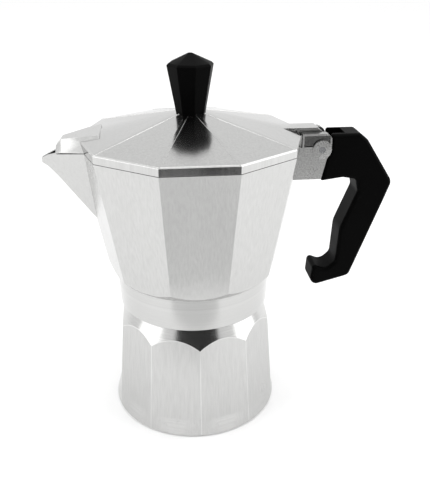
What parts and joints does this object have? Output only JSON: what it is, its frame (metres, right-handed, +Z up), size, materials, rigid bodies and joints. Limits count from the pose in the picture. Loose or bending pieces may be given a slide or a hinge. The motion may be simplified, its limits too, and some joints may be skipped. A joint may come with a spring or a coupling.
{
  "type": "moka pot",
  "caption": "Faceted aluminium stovetop moka pot: boiler with funnel and safety valve, screwed collector with spout, hinged lid with knob, and a hooked black handle.",
  "frame": {"origin": "centre of the boiler's underside, on the surface that the pot stands on", "axes": "+Z up, +X towards the handle, -X towards the spout, +Y to the back, where the safety valve is"},
  "size_m": [0.1509, 0.0928, 0.1638],
  "materials": {
    "cast_body": "satin polished casting",
    "drawn_aluminium": "drawn sheet, lightly brushed",
    "black_plastic": "moulded, semi-matte",
    "brass": "turned",
    "steel": "bright",
    "silicone": "moulded, matt",
    "fibre": "pressed fibre, matt"
  },
  "bodies": {
    "base": {"boiler": "cast_body", "valve_body": "brass", "valve_seal": "fibre", "valve_spring": "steel", "funnel_basket": "drawn_aluminium", "funnel_tube": "drawn_aluminium", "funnel_sieve": "drawn_aluminium"},
    "valve_pin": {"valve_stem": "steel", "valve_retainer": "steel"},
    "seal": {"gasket": "silicone", "filter_plate": "drawn_aluminium"},
    "top": {"collector": "cast_body", "hinge_pin": "steel", "handle": "black_plastic", "handle_screw": "steel"},
    "lid": {"lid": "cast_body", "knob": "black_plastic", "knob_insert": "brass", "knob_screw": "steel", "knob_washer": "steel"}
  },
  "joints": [
    {"name": "valve_pop", "type": "slide", "parent": "base", "child": "valve_pin", "axis": [-0.309, 0.9511, 0], "range_m": [0, 0.0012], "stiffness_N_per_m": 400, "deforming": ["valve_spring"]},
    {"name": "seal_rise", "type": "slide", "parent": "base", "child": "seal", "axis": [0, 0, 1], "range_m": [0, 0.009]},
    {"name": "top_unscrew", "type": "hinge", "parent": "seal", "child": "top", "pos_m": [0, 0, 0.0685], "axis": [0, 0, 1], "range_deg": [0, 1080]},
    {"name": "lid_hinge", "type": "hinge", "parent": "top", "child": "lid", "pos_m": [0.0551, 0, 0.1241], "axis": [0, 1, 0], "range_deg": [0, 100]}
  ],
  "couplings": [
    {"joint": "seal_rise", "follows": "top_unscrew", "m_per_rad": 0.00047746}
  ]
}
